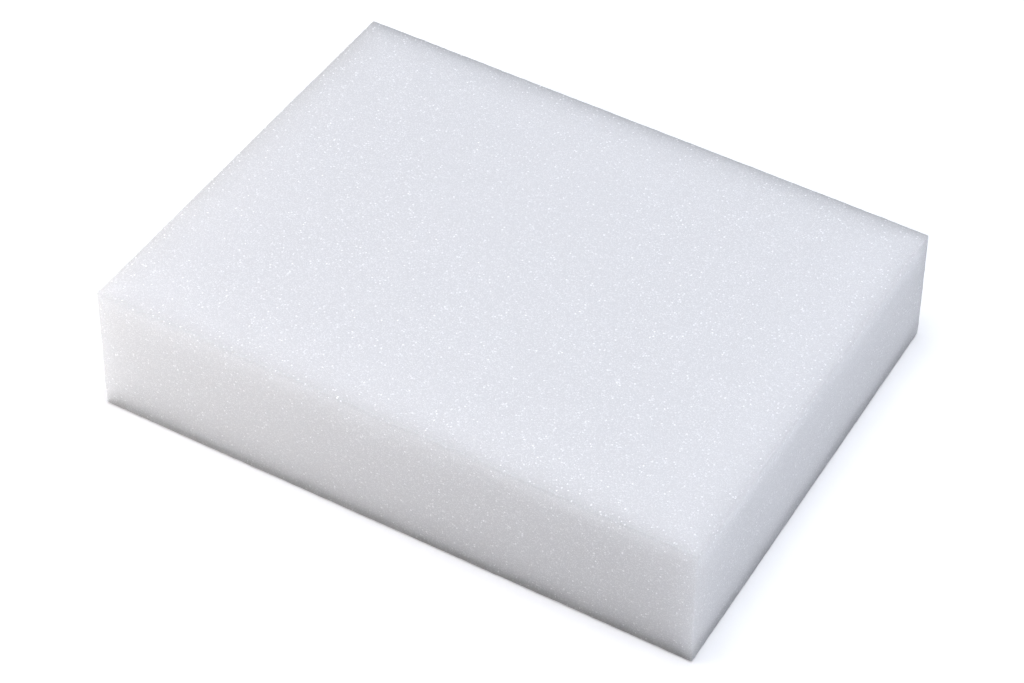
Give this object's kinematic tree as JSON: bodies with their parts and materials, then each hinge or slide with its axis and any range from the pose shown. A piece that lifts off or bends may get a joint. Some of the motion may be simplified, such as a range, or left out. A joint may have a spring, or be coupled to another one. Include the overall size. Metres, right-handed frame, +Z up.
{
  "type": "tiling sponge",
  "caption": "Plain rectangular block of fine-celled white foam, lying on its big face, for wiping grout haze off freshly laid tiles.",
  "frame": {"origin": "middle of the base face, on the surface that the block lies on", "axes": "+X along the length to the right end, +Y across the width to the back, +Z up through the height"},
  "size_m": [0.18, 0.14, 0.0409],
  "materials": {
    "foam": "matte"
  },
  "bodies": {
    "root": {"foam_block": "foam"}
  },
  "joints": []
}
